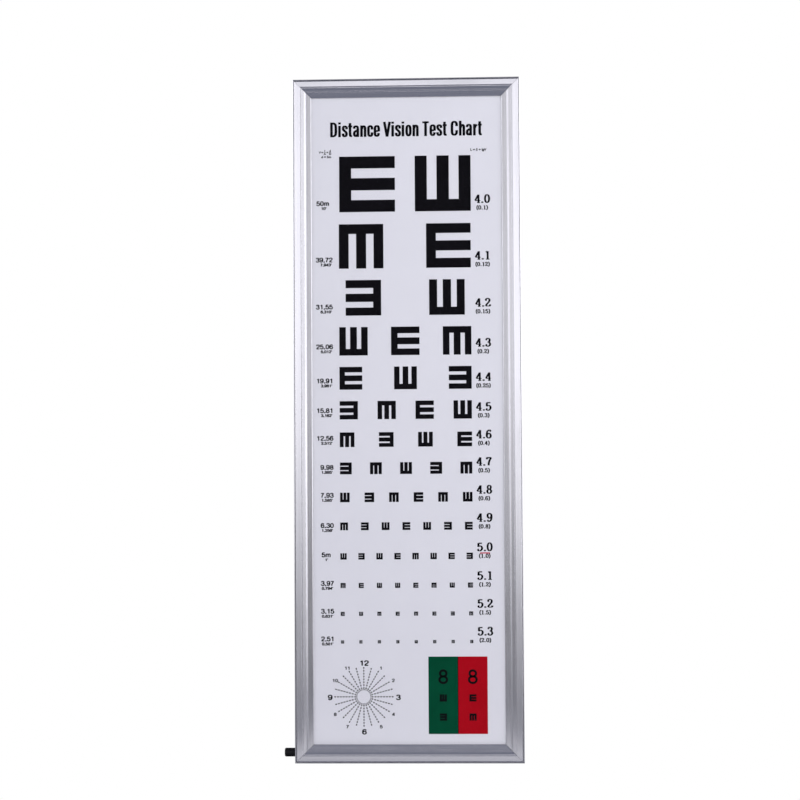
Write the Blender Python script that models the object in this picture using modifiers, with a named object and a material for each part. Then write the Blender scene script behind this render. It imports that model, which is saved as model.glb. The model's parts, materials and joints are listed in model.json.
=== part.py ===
"""LED light box with an eye-test chart, in a frame of four snap-open aluminium rails.

The box hangs upright on a wall. The frame is metres, +Z up, with the origin at the centre of the
rear plane, which meets the wall: the chart faces -Y. Each side of the frame has its own section
plane (inset, height): inset runs inwards from the outer edge, height runs forwards from the wall.
Every size below is in millimetres and is turned into metres by MM where a shape is built.
"""

import math

import bmesh
import bpy
from mathutils import Matrix, Vector

MM = 0.001

# Overall size
WIDTH = 300.0
HEIGHT = 900.0
DEPTH = 25.0
GAP = 0.3  # left between pieces that rest on each other
MITRE_GAP = 0.2  # taken off each rail at its 45 degree corner cut

# Fixed base rail section
WALL = 1.2
RIM_RADIUS = WALL / 2
RIM_TOP = DEPTH - 0.5
REAR_FLANGE = 1.5
REAR_FLANGE_WIDTH = 6.0
STEP = 1.4
INNER_FLANGE_WIDTH = 22.0
WEB_INSET = 10.0
WEB = 1.5
LIP = (6.0, 6.8)  # height of the lips that keep the corner brackets in
LIP_REACH = 1.0
SHELF_WIDTH = 21.0

# Sheet stack, front to back, as thicknesses
COVER_TOP = 18.4
COVER_SHEET = 1.0
CHART_FILM = 0.5
DIFFUSER_SHEET = 1.5
LIGHT_GUIDE = 4.0
REFLECTOR_SHEET = 0.5
SHELF = 1.2
STACK_INSET = 7.4  # of the cover, film and diffuser
GUIDE_SIDE_INSET = 13.8  # light guide edge facing the LEDs
GUIDE_END_INSET = WEB_INSET + WEB + GAP

# Hinge of each snap rail: a round knuckle in a seat of the base rail
KNUCKLE = 1.5
PIVOT = (WALL + GAP + KNUCKLE, DEPTH - KNUCKLE)
SEAT_RADIUS = KNUCKLE + GAP
SEAT_WALL = 1.2
SEAT_END = 340.0
ARC_STEP = 15.0

# Snap rail section
RAIL_FACE = 24.3
SKIN = 1.3
SHOULDER_END = 9.6
LIP_BOTTOM = COVER_TOP + GAP
RIB = (7.6, 8.8)
RIB_BOTTOM = 20.2
BARB_INSET = 7.0

# Reliefs at both ends of a snap rail, as distances from the frame's corner
RELIEF_TIP = 3.5  # on the two short rails only
RELIEF_KNUCKLE = 5.1
RELIEF_RIB = 12.0
RELIEF_STEP = 6.3
RELIEF_WIDTH = 9.2
RELIEF_INTO_SKIN = 0.1
RELIEF_PAST = 2.0

# Springs between the base rail and the snap rail's rib
SPRING_CENTRE = (5.75, 20.25)
SPRING_RADII = (0.9, 0.45)
SPRING_SPAN = (150.0, 390.0)
SPRING_LENGTH = 28.0
LONG_SPRING_PLACES = (-300.0, 0.0, 300.0)
SHORT_SPRING_PLACES = (-70.0, 70.0)

# Corner brackets
BRACKET_REACH = 45.0
BRACKET_WIDTH = 7.6
BRACKET_EDGE = 1.7
BRACKET_THICKNESS = 2.0
BRACKET_BACK = 3.6
BRACKET_SCREW_PLACE = 32.0
BRACKET_SCREW_INSET = BRACKET_EDGE + BRACKET_WIDTH / 2

# Back cover, with keyhole slots for two wall screws
BACK_COVER = 1.5
BACK_COVER_INSET = REAR_FLANGE_WIDTH + GAP
KEYHOLE_X = 90.0
KEYHOLE_Z = 400.0
KEYHOLE_ENTRY = 4.5
KEYHOLE_SLOT = 2.5
KEYHOLE_RISE = 11.0
COVER_SCREW_INSET = 14.0
LONG_SCREW_PLACES = (-400.0, 0.0, 400.0)

# LED strips along both long sides
STRIP_INSET = WEB_INSET + WEB + GAP
STRIP_BOARD = 0.8
LED_HEIGHT = 0.8
LED_LENGTH = 3.5
LED_PITCH = 17.0
LED_COUNT = 48
STRIP_WIDTH = 4.6
CONNECTOR_LENGTH = 10.0
CONNECTOR_GAP = 1.0

# Power socket through the left rail
SOCKET_Z = 13.6 - HEIGHT / 2
SOCKET_HEIGHT = 11.6
SOCKET_RADIUS = 5.75
SOCKET_LENGTH = 14.4
SOCKET_ROUND = 1.6
SOCKET_NECK = 3.4
SOCKET_NECK_END = 6.5
SOCKET_BORE = 2.75
SOCKET_BORE_DEPTH = 9.5
SOCKET_PIN = 1.0
SOCKET_PIN_HOLE = SOCKET_PIN + GAP
SOCKET_PIN_TAIL = 8.0
NUT_RADIUS = 5.2
NUT_THICKNESS = 2.0

# Wiring
WIRE_RADIUS = 0.7
NOTCH_LOW = 20.0
NOTCH_HIGH = 27.0
NOTCH_FLOOR = 9.8

FINISHES = {
    "anodised_aluminium": ((0.72, 0.72, 0.75), 0.32, 1.0),
    "back_sheet": ((0.80, 0.80, 0.81), 0.45, 0.3),
    "clear_sheet": ((0.92, 0.93, 0.95), 0.20, 0.0),
    "chart_white": ((0.80, 0.79, 0.84), 0.50, 0.0),
    "diffuser_white": ((0.90, 0.90, 0.92), 0.60, 0.0),
    "light_guide_acrylic": ((0.86, 0.90, 0.93), 0.10, 0.0),
    "reflector_white": ((0.93, 0.93, 0.93), 0.70, 0.0),
    "strip_board": ((0.90, 0.90, 0.86), 0.50, 0.0),
    "zinc_steel": ((0.62, 0.63, 0.65), 0.35, 1.0),
    "spring_steel": ((0.40, 0.41, 0.44), 0.30, 1.0),
    "black_plastic": ((0.02, 0.02, 0.022), 0.50, 0.0),
    "nickel": ((0.70, 0.68, 0.62), 0.25, 1.0),
    "wire_red": ((0.55, 0.03, 0.03), 0.45, 0.0),
    "wire_black": ((0.03, 0.03, 0.03), 0.45, 0.0),
    "connector_white": ((0.88, 0.88, 0.85), 0.45, 0.0),
}


def clear_scene():
    for obj in list(bpy.data.objects):
        bpy.data.objects.remove(obj)


def new_collection(name):
    collection = bpy.data.collections.new(name)
    bpy.context.scene.collection.children.link(collection)
    return collection


def make_materials():
    made = {}
    for name, (colour, roughness, metallic) in FINISHES.items():
        material = bpy.data.materials.new(name)
        material.use_nodes = True
        shader = material.node_tree.nodes["Principled BSDF"]
        shader.inputs["Base Color"].default_value = (*colour, 1.0)
        shader.inputs["Roughness"].default_value = roughness
        shader.inputs["Metallic"].default_value = metallic
        material.diffuse_color = (*colour, 1.0)
        made[name] = material
    return made


clear_scene()
PARTS = new_collection("light_box")
CUTTERS = new_collection("cutters")
MATERIALS = make_materials()


def arc(centre, radius, start, end, step=ARC_STEP):
    """Points on a circle from angle start to angle end, in degrees, both ends included."""
    count = max(1, round(abs(end - start) / step))
    angles = [math.radians(start + (end - start) * i / count) for i in range(count + 1)]
    return [(centre[0] + radius * math.cos(a), centre[1] + radius * math.sin(a)) for a in angles]


def outline_mesh(name, loop, thickness):
    """A flat outline in XY given a thickness along Z, with its middle at height 0."""
    mesh = bpy.data.meshes.new(name)
    edit = bmesh.new()
    points = [edit.verts.new((x * MM, y * MM, -thickness * MM / 2)) for x, y in loop]
    base = edit.faces.new(points)
    raised = bmesh.ops.extrude_face_region(edit, geom=[base])["geom"]
    moved = [item for item in raised if isinstance(item, bmesh.types.BMVert)]
    bmesh.ops.translate(edit, vec=(0.0, 0.0, thickness * MM), verts=moved)
    bmesh.ops.recalc_face_normals(edit, faces=edit.faces)
    edit.to_mesh(mesh)
    edit.free()
    return mesh


def curve_mesh(curve):
    """The closed mesh of a curve, with the points of its caps and sides made one."""
    drawn = bpy.data.objects.new(curve.name, curve)
    bpy.context.scene.collection.objects.link(drawn)
    graph = bpy.context.evaluated_depsgraph_get()
    mesh = bpy.data.meshes.new_from_object(drawn.evaluated_get(graph))
    bpy.data.objects.remove(drawn)
    edit = bmesh.new()
    edit.from_mesh(mesh)
    bmesh.ops.remove_doubles(edit, verts=edit.verts, dist=0.00001)
    bmesh.ops.recalc_face_normals(edit, faces=edit.faces)
    edit.to_mesh(mesh)
    edit.free()
    return mesh


def plate_mesh(name, loops, thickness):
    """A flat plate in XY with holes in it, given a thickness along Z."""
    curve = bpy.data.curves.new(name, "CURVE")
    curve.dimensions = "2D"
    curve.fill_mode = "BOTH"
    curve.extrude = thickness * MM / 2
    for loop in loops:
        spline = curve.splines.new("POLY")
        spline.points.add(len(loop) - 1)
        for point, (x, y) in zip(spline.points, loop):
            point.co = (x * MM, y * MM, 0.0, 1.0)
        spline.use_cyclic_u = True
    return curve_mesh(curve)


def place(name, mesh, finish, matrix=None, collection=PARTS):
    obj = bpy.data.objects.new(name, mesh)
    collection.objects.link(obj)
    obj.matrix_world = matrix or Matrix.Identity(4)
    mesh.materials.clear()
    if finish:
        mesh.materials.append(MATERIALS[finish])
    mesh.shade_smooth()
    mesh.set_sharp_from_angle(angle=math.radians(30))
    return obj


def shift(x, y, z):
    return Matrix.Translation(Vector((x, y, z)) * MM)


def cuboid(name, low, high, finish, matrix=None, collection=PARTS):
    """A box between two corners, in millimetres, as a scaled cube primitive."""
    mesh = bpy.data.meshes.new(name)
    edit = bmesh.new()
    bmesh.ops.create_cube(edit, size=1.0)
    size = (Vector(high) - Vector(low)) * MM
    middle = (Vector(high) + Vector(low)) * MM / 2
    bmesh.ops.transform(edit, matrix=Matrix.Translation(middle) @ Matrix.Diagonal(size).to_4x4(),
                        verts=edit.verts)
    edit.to_mesh(mesh)
    edit.free()
    return place(name, mesh, finish, matrix, collection)


def cylinder_cutter(name, radius, length, matrix, segments=16):
    mesh = bpy.data.meshes.new(name)
    edit = bmesh.new()
    bmesh.ops.create_cone(edit, cap_ends=True, segments=segments, radius1=radius * MM,
                          radius2=radius * MM, depth=length * MM)
    edit.to_mesh(mesh)
    edit.free()
    return place(name, mesh, None, matrix, CUTTERS)


def cut(target, cutter):
    cutter.hide_render = True
    cutter.display_type = "WIRE"
    boolean = target.modifiers.new(cutter.name, "BOOLEAN")
    boolean.operation = "DIFFERENCE"
    boolean.object = cutter


def turned(name, profile, finish, matrix, steps=24):
    """A turned piece: the profile (radius, height) runs down its outer side and is spun about Z."""
    mesh = bpy.data.meshes.new(name)
    points = [(radius * MM, 0.0, height * MM) for radius, height in profile]
    closed = min(radius for radius, _ in profile) > 0.0
    edges = [(i, i + 1) for i in range(len(points) - 1)]
    if closed:
        edges.append((len(points) - 1, 0))
    mesh.from_pydata(points, edges, [])
    obj = place(name, mesh, finish, matrix)
    screw = obj.modifiers.new("turn", "SCREW")
    screw.steps = steps
    screw.render_steps = steps
    screw.use_merge_vertices = True
    screw.merge_threshold = 0.00001
    return obj


def side_frame(inward, middle):
    """Matrix of one side's section plane: X is inset, Y is height from the wall, Z runs along it."""
    forward = Vector((0.0, -1.0, 0.0))
    along = Vector(inward).cross(forward)
    turn = Matrix((Vector(inward), forward, along)).transposed().to_4x4()
    return Matrix.Translation(Vector(middle) * MM) @ turn


SIDES = {
    "left": (side_frame((1, 0, 0), (-WIDTH / 2, 0, 0)), HEIGHT),
    "right": (side_frame((-1, 0, 0), (WIDTH / 2, 0, 0)), HEIGHT),
    "top": (side_frame((0, 0, -1), (0, 0, HEIGHT / 2)), WIDTH),
    "bottom": (side_frame((0, 0, 1), (0, 0, -HEIGHT / 2)), WIDTH),
}


def mitre(mesh, length, origin_inset=0.0):
    """Slides the end vertices so that both ends of a rail are cut at 45 degrees."""
    for vertex in mesh.vertices:
        inset = vertex.co.x + origin_inset * MM
        vertex.co.z = math.copysign(length * MM / 2 - inset - MITRE_GAP * MM, vertex.co.z)


def heights():
    """Front face of each sheet below the cover, and the height of the shelf, in millimetres."""
    film = COVER_TOP - COVER_SHEET - GAP
    diffuser = film - CHART_FILM - GAP
    guide = diffuser - DIFFUSER_SHEET - GAP
    reflector = guide - LIGHT_GUIDE - GAP
    shelf = reflector - REFLECTOR_SHEET - GAP
    return film, diffuser, guide, reflector, shelf


FILM_TOP, DIFFUSER_TOP, GUIDE_TOP, REFLECTOR_TOP, SHELF_TOP = heights()


def base_rail_outline():
    """Outer wall with its rim, the hinge seat, the bracket channel, the LED wall and the shelf."""
    web_in = WEB_INSET + WEB
    inner_flange = REAR_FLANGE + GAP
    seat_meets_wall = math.degrees(math.acos((WALL - PIVOT[0]) / (SEAT_RADIUS + SEAT_WALL)))
    outline = [(0.0, 0.0)]
    outline += arc((RIM_RADIUS, RIM_TOP - RIM_RADIUS), RIM_RADIUS, 180.0, 0.0, 30.0)
    outline += arc(PIVOT, SEAT_RADIUS, 180.0, SEAT_END)
    outline += arc(PIVOT, SEAT_RADIUS + SEAT_WALL, SEAT_END, 360.0 - seat_meets_wall)
    outline += [
        (WALL, LIP[1]), (WALL + LIP_REACH, LIP[1]), (WALL + LIP_REACH, LIP[0]), (WALL, LIP[0]),
        (WALL, REAR_FLANGE), (REAR_FLANGE_WIDTH - STEP, REAR_FLANGE),
        (REAR_FLANGE_WIDTH - STEP, inner_flange + STEP), (WEB_INSET, inner_flange + STEP),
        (WEB_INSET, LIP[0]), (WEB_INSET - LIP_REACH, LIP[0]), (WEB_INSET - LIP_REACH, LIP[1]),
        (WEB_INSET, LIP[1]), (WEB_INSET, GUIDE_TOP), (web_in, GUIDE_TOP),
        (web_in, SHELF_TOP), (SHELF_WIDTH, SHELF_TOP), (SHELF_WIDTH, SHELF_TOP - SHELF),
        (web_in, SHELF_TOP - SHELF), (web_in, inner_flange + STEP),
        (INNER_FLANGE_WIDTH, inner_flange + STEP), (INNER_FLANGE_WIDTH, inner_flange),
        (REAR_FLANGE_WIDTH, inner_flange), (REAR_FLANGE_WIDTH, 0.0),
    ]
    return outline


def snap_rail_outline():
    """Flat shoulder, step, hollow, low ridge and slope down to the lip that holds the sheets.

    The points are relative to the pivot, which is the object's origin."""
    under = DEPTH - SKIN
    knuckle_start = math.degrees(math.asin((under - PIVOT[1]) / KNUCKLE))
    outline = [(PIVOT[0], DEPTH), (SHOULDER_END, DEPTH), (SHOULDER_END + 0.3, DEPTH - 0.25)]
    outline += [(SHOULDER_END + 0.4, DEPTH - 0.95), (SHOULDER_END + 1.0, DEPTH - 0.98)]
    outline += [(14.0, 22.45), (14.4, 22.35), (16.7, 22.85), (17.1, 22.85), (17.4, 22.35)]
    outline += [(23.6, 19.79), (24.1, 19.53), (RAIL_FACE, 19.2)]
    outline += [(RAIL_FACE - 0.1, LIP_BOTTOM), (23.1, LIP_BOTTOM), (17.0, 21.15), (14.4, 21.5)]
    outline += [(10.5, 22.75), (9.5, under), (RIB[1], under), (RIB[1], RIB_BOTTOM)]
    outline += [(BARB_INSET, RIB_BOTTOM), (BARB_INSET, RIB_BOTTOM + 0.6)]
    outline += [(RIB[0], RIB_BOTTOM + 0.8), (RIB[0], under)]
    outline += arc(PIVOT, KNUCKLE, knuckle_start, -255.0)
    return [(inset - PIVOT[0], height - PIVOT[1]) for inset, height in outline]


def relieve_ends(rail, side, matrix, length):
    """Cuts the hinge side of a snap rail back at both corners, so that two rails can open at once."""
    knuckle_end = length / 2 - RELIEF_KNUCKLE
    rib_end = length / 2 - RELIEF_RIB
    past = length / 2 + RELIEF_PAST
    under = DEPTH - SKIN + RELIEF_INTO_SKIN
    low = RIB_BOTTOM - RELIEF_PAST
    for end in (-1, 1):
        shape = [(0.0, end * knuckle_end), (RELIEF_STEP, end * knuckle_end), (RELIEF_STEP, end * rib_end),
                 (RELIEF_WIDTH, end * rib_end), (RELIEF_WIDTH, end * past), (0.0, end * past)]
        mesh = outline_mesh(f"end_relief_{side}_{end}", shape, under - low)
        flat = matrix @ shift(0, (under + low) / 2, 0) @ Matrix.Rotation(math.pi / 2, 4, "X")
        cut(rail, place(mesh.name, mesh, None, flat, CUTTERS))
        if length == WIDTH:
            reach = sorted((end * (length / 2 - RELIEF_TIP), end * past))
            cut(rail, cuboid(f"tip_relief_{side}_{end}", (0.0, low, reach[0]),
                             (PIVOT[0] + 0.2, DEPTH + RELIEF_PAST, reach[1]), None, matrix, CUTTERS))


def make_rails():
    rails = {}
    for side, (matrix, length) in SIDES.items():
        mesh = outline_mesh(f"base_rail_{side}", base_rail_outline(), length)
        mitre(mesh, length)
        rails[side] = place(f"base_rail_{side}", mesh, "anodised_aluminium", matrix)

        mesh = outline_mesh(f"snap_rail_{side}", snap_rail_outline(), length)
        mitre(mesh, length, PIVOT[0])
        snap = place(f"snap_rail_{side}", mesh, "anodised_aluminium",
                     matrix @ shift(*PIVOT, 0.0))
        relieve_ends(snap, side, matrix, length)
    return rails


def make_springs():
    outer, inner = SPRING_RADII
    loop = arc(SPRING_CENTRE, outer, *SPRING_SPAN, 30.0)
    loop += arc(SPRING_CENTRE, inner, *reversed(SPRING_SPAN), 30.0)
    for side, (matrix, length) in SIDES.items():
        places = LONG_SPRING_PLACES if length == HEIGHT else SHORT_SPRING_PLACES
        for number, along in enumerate(places, 1):
            mesh = outline_mesh("snap_spring", loop, SPRING_LENGTH)
            place(f"snap_spring_{side}_{number}", mesh, "spring_steel",
                  matrix @ shift(0, 0, along))


def screw_profile(head_radius, head, shank_radius, length, countersunk):
    """Profile of a screw whose head's outer face is at height 0 and whose tip points down."""
    under_head = [(shank_radius, -head)] if countersunk else [(head_radius, -head), (shank_radius, -head)]
    tip = [(shank_radius, -length + shank_radius), (0.0, -length)]
    return [(0.0, 0.0), (head_radius, 0.0), *under_head, *tip]


def make_corner_brackets():
    """Flat steel corner pieces in the channel of two rails, each held by two screws."""
    low, high, reach = BRACKET_EDGE, BRACKET_EDGE + BRACKET_WIDTH, BRACKET_REACH
    shape = [(low, low), (reach, low), (reach, high), (high, high), (high, reach), (low, reach)]
    screws = ((BRACKET_SCREW_PLACE, BRACKET_SCREW_INSET), (BRACKET_SCREW_INSET, BRACKET_SCREW_PLACE))
    holes = [arc(centre, 1.8, 0.0, 330.0, 30.0) for centre in screws]
    front = BRACKET_BACK + BRACKET_THICKNESS
    corners = {"bottom_left": (-1, -1, 0), "bottom_right": (1, -1, 1),
               "top_right": (1, 1, 2), "top_left": (-1, 1, 3)}
    for corner, (x_side, z_side, turns) in corners.items():
        upright = Matrix.Rotation(-turns * math.pi / 2, 4, "Y") @ Matrix.Rotation(math.pi / 2, 4, "X")
        matrix = shift(x_side * WIDTH / 2, 0, z_side * HEIGHT / 2) @ upright
        mesh = plate_mesh(f"corner_bracket_{corner}", [shape, *holes], BRACKET_THICKNESS)
        place(f"corner_bracket_{corner}", mesh, "zinc_steel",
              matrix @ shift(0, 0, front - BRACKET_THICKNESS / 2))
        for number, (x, z) in enumerate(screws, 1):
            turned(f"bracket_screw_{corner}_{number}",
                   screw_profile(2.7, 1.8, 1.4, 4.2, countersunk=False), "zinc_steel",
                   matrix @ shift(x, z, front + GAP + 1.8), steps=12)


def make_sheets():
    sheets = (
        ("cover_sheet", COVER_TOP, COVER_SHEET, STACK_INSET, STACK_INSET, "clear_sheet"),
        ("chart_film", FILM_TOP, CHART_FILM, STACK_INSET, STACK_INSET, "chart_white"),
        ("diffuser_sheet", DIFFUSER_TOP, DIFFUSER_SHEET, STACK_INSET, STACK_INSET, "diffuser_white"),
        ("light_guide_panel", GUIDE_TOP, LIGHT_GUIDE, GUIDE_SIDE_INSET, GUIDE_END_INSET,
         "light_guide_acrylic"),
        ("reflector_sheet", REFLECTOR_TOP, REFLECTOR_SHEET, GUIDE_SIDE_INSET, GUIDE_END_INSET,
         "reflector_white"),
    )
    for name, top, thickness, side_inset, end_inset, finish in sheets:
        x, z = WIDTH / 2 - side_inset, HEIGHT / 2 - end_inset
        cuboid(name, (-x, -top, -z), (x, thickness - top, z), finish)


def keyhole(x, z):
    """Round entry for a wall screw's head, with a slot above it that its shank slides up into."""
    meets = math.degrees(math.asin(KEYHOLE_SLOT / KEYHOLE_ENTRY))
    entry = arc((x, z), KEYHOLE_ENTRY, 90.0 + meets, 450.0 - meets, 20.0)
    slot = arc((x, z + KEYHOLE_RISE - KEYHOLE_SLOT), KEYHOLE_SLOT, 0.0, 180.0, 30.0)
    return entry + slot


def back_screw_places():
    """(side, distance along it) of each screw that holds the back cover."""
    long_sides = [(side, along) for side in ("left", "right") for along in LONG_SCREW_PLACES]
    return long_sides + [("top", 0.0), ("bottom", 0.0)]


def make_back_cover(rails):
    x, z = WIDTH / 2 - BACK_COVER_INSET, HEIGHT / 2 - BACK_COVER_INSET
    shape = [(-x, -z), (x, -z), (x, z), (-x, z)]
    upright = Matrix.Rotation(math.pi / 2, 4, "X")
    keyholes = [keyhole(-KEYHOLE_X, KEYHOLE_Z), keyhole(KEYHOLE_X, KEYHOLE_Z)]
    mesh = plate_mesh("back_cover", [shape, *keyholes], BACK_COVER)
    cover = place("back_cover", mesh, "back_sheet", upright @ shift(0, 0, BACK_COVER / 2))
    for number, (side, along) in enumerate(back_screw_places(), 1):
        matrix = SIDES[side][0] @ shift(COVER_SCREW_INSET, 0, along)
        into_box = matrix @ Matrix.Rotation(math.pi / 2, 4, "X")
        turned(f"back_screw_{number}", screw_profile(2.9, 1.4, 1.4, 6.4, countersunk=True),
               "zinc_steel", into_box @ shift(0, 0, -0.1), steps=12)
        hole = cylinder_cutter(f"back_screw_hole_{number}", 1.75, 12.0, into_box)
        cut(cover, hole)
        cut(rails[side], hole)
        sink = bpy.data.meshes.new(f"back_screw_sink_{number}")
        edit = bmesh.new()
        bmesh.ops.create_cone(edit, cap_ends=True, segments=16, radius1=1.6 * MM, radius2=3.7 * MM,
                              depth=2.1 * MM)
        edit.to_mesh(sink)
        edit.free()
        cut(cover, place(sink.name, sink, None, into_box @ shift(0, 0, -0.65), CUTTERS))


def strip_outline():
    """One LED strip seen along its width: a thin board with a row of raised LEDs."""
    length = LED_PITCH * (LED_COUNT - 1) + 10.0
    front = STRIP_INSET + STRIP_BOARD
    outline = [(STRIP_INSET, length / 2), (STRIP_INSET, -length / 2), (front, -length / 2)]
    for number in range(LED_COUNT):
        middle = (number - (LED_COUNT - 1) / 2) * LED_PITCH
        low, high = middle - LED_LENGTH / 2, middle + LED_LENGTH / 2
        outline += [(front, low), (front + LED_HEIGHT, low), (front + LED_HEIGHT, high), (front, high)]
    return outline + [(front, length / 2)]


def make_led_strips():
    middle = SHELF_TOP + GAP + STRIP_WIDTH / 2
    strip_end = -(LED_PITCH * (LED_COUNT - 1) + 10.0) / 2
    across = Matrix.Rotation(math.pi / 2, 4, "X")
    for side, x_turn in (("left", 0.0), ("right", math.pi)):
        inwards = Matrix.Rotation(x_turn, 4, "Z") @ shift(-WIDTH / 2, 0, 0)
        spin = Matrix.Rotation(-x_turn, 4, "X")
        mesh = outline_mesh(f"led_strip_{side}", strip_outline(), STRIP_WIDTH)
        y = -middle if side == "left" else middle
        place(f"led_strip_{side}", mesh, "strip_board", inwards @ shift(0, y, 0) @ across @ spin)
        x = WIDTH / 2 - STRIP_INSET
        low_x, high_x = sorted((x, x - 1.6)) if side == "right" else sorted((-x, -x + 1.6))
        cuboid(f"strip_connector_{side}",
               (low_x, -middle - STRIP_WIDTH / 2, strip_end - CONNECTOR_GAP - CONNECTOR_LENGTH),
               (high_x, -middle + STRIP_WIDTH / 2, strip_end - CONNECTOR_GAP), "connector_white")


def make_socket(rails):
    """Moulded low-voltage socket on the left rail, with its centre pin, contact tab and nut."""
    outwards = Matrix.Rotation(-math.pi / 2, 4, "Y")
    matrix = shift(-WIDTH / 2, -SOCKET_HEIGHT, SOCKET_Z) @ outwards
    body = [(SOCKET_BORE, SOCKET_LENGTH)]
    body += [(r, h) for r, h in arc((SOCKET_RADIUS - SOCKET_ROUND, SOCKET_LENGTH - SOCKET_ROUND),
                                    SOCKET_ROUND, 90.0, 0.0, 22.5)]
    body += [(SOCKET_RADIUS, GAP), (SOCKET_NECK, GAP), (SOCKET_NECK, -SOCKET_NECK_END)]
    body += [(SOCKET_PIN_HOLE, -SOCKET_NECK_END), (SOCKET_PIN_HOLE, SOCKET_LENGTH - SOCKET_BORE_DEPTH)]
    body += [(SOCKET_BORE, SOCKET_LENGTH - SOCKET_BORE_DEPTH)]
    turned("power_socket_body", body, "black_plastic", matrix)
    pin = [(0.0, SOCKET_LENGTH - 1.0), (0.6 * SOCKET_PIN, SOCKET_LENGTH - 1.2)]
    pin += [(SOCKET_PIN, SOCKET_LENGTH - 1.9), (SOCKET_PIN, -SOCKET_PIN_TAIL), (0.0, -SOCKET_PIN_TAIL)]
    turned("power_socket_pin", pin, "nickel", matrix, steps=12)
    hexagon = arc((0, 0), NUT_RADIUS, 0.0, 300.0, 60.0)
    bore = arc((0, 0), SOCKET_NECK + GAP, 0.0, 345.0)
    mesh = plate_mesh("power_socket_nut", [hexagon, bore], NUT_THICKNESS)
    place("power_socket_nut", mesh, "nickel", matrix @ shift(0, 0, -WALL - GAP - NUT_THICKNESS / 2))
    cuboid("power_socket_tab", (-0.25, -2.6, -SOCKET_PIN_TAIL), (0.25, -1.6, -SOCKET_NECK_END - GAP),
           "nickel", matrix @ Matrix.Rotation(math.pi / 2, 4, "Z"))
    cut(rails["left"], cylinder_cutter("socket_hole", SOCKET_NECK + GAP, 4.0, matrix, 24))


def smooth_route(points, per_span=4):
    """A Catmull-Rom curve through the route's own points, as a list of vectors."""
    route = [Vector(p) for p in points]
    ends = [route[0] * 2 - route[1], *route, route[-1] * 2 - route[-2]]
    found = []
    for i in range(1, len(ends) - 2):
        p0, p1, p2, p3 = ends[i - 1:i + 3]
        for k in range(per_span):
            t = k / per_span
            found.append(0.5 * (2 * p1 + (p2 - p0) * t + (2 * p0 - 5 * p1 + 4 * p2 - p3) * t * t
                                + (3 * p1 - p0 - 3 * p2 + p3) * t ** 3))
    return [*found, route[-1]]


def wire(name, points, finish):
    curve = bpy.data.curves.new(name, "CURVE")
    curve.dimensions = "3D"
    curve.bevel_depth = WIRE_RADIUS * MM
    curve.bevel_resolution = 1
    curve.use_fill_caps = True
    spline = curve.splines.new("POLY")
    route = smooth_route(points)
    spline.points.add(len(route) - 1)
    for point, place_at in zip(spline.points, route):
        point.co = (*(place_at * MM), 1.0)
    place(name, curve_mesh(curve), finish)


def cut_wire_notch(rail, side):
    x = WIDTH / 2 - WEB_INSET
    sign = -1 if side == "left" else 1
    low_x, high_x = sorted((sign * (x + 1.0), sign * (x - WEB - 1.0)))
    cutter = cuboid(f"wire_notch_{side}", (low_x, -GUIDE_TOP - 1.0, NOTCH_LOW - HEIGHT / 2),
                    (high_x, -NOTCH_FLOOR, NOTCH_HIGH - HEIGHT / 2), None, None, CUTTERS)
    cut(rail, cutter)


def make_wires(rails):
    """Two pairs of wires: a short pair to the left strip and a long pair round to the right one."""
    left, right, low = -WIDTH / 2, WIDTH / 2, -HEIGHT / 2
    strip = STRIP_INSET + 0.8
    end = -(LED_PITCH * (LED_COUNT - 1) + 10.0) / 2 - CONNECTOR_GAP - CONNECTOR_LENGTH - GAP
    for side in ("left", "right"):
        cut_wire_notch(rails[side], side)
    for name, finish, depth, channel in (("red", "wire_red", -11.0, 7.6),
                                         ("black", "wire_black", -13.1, 6.0)):
        wire(f"wire_{name}_left",
             [(left + 5.2, depth, low + 18.4), (left + 5.4, depth, low + 20.0),
              (left + 7.2, depth, low + 22.6), (left + strip - 1.4, depth, low + 24.2),
              (left + strip - 0.1, depth, low + 26.2), (left + strip, depth, end)], finish)
        wire(f"wire_{name}_right",
             [(left + 9.0, depth, low + 12.8), (left + 8.6, depth, low + 9.8),
              (left + 11.0, depth, low + channel), (left + 20.0, depth, low + channel - 0.6),
              (left + 90.0, depth, low + channel - 1.2), (0.0, depth, low + channel),
              (right - 90.0, depth, low + channel - 1.0), (right - 16.0, depth, low + channel - 0.4),
              (right - 8.0, depth, low + 8.4), (right - 6.2, depth, low + 15.0),
              (right - 7.0, depth, low + 21.0), (right - strip + 1.6, depth, low + 24.0),
              (right - strip + 0.1, depth, low + 26.2), (right - strip, depth, end)], finish)


def main():
    rails = make_rails()
    make_springs()
    make_corner_brackets()
    make_sheets()
    make_back_cover(rails)
    make_led_strips()
    make_socket(rails)
    make_wires(rails)


main()
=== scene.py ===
"""Looks of the LED eye-chart light box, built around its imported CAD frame.

Metres, +Z up, the chart faces -Y and the rear plane is at Y = 0. The object's sizes are written in
millimetres and turned into metres by MM where a shape is built. The stage is written in metres.
"""

import json
import math

import bmesh
import bpy
from mathutils import Matrix, Vector


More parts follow.
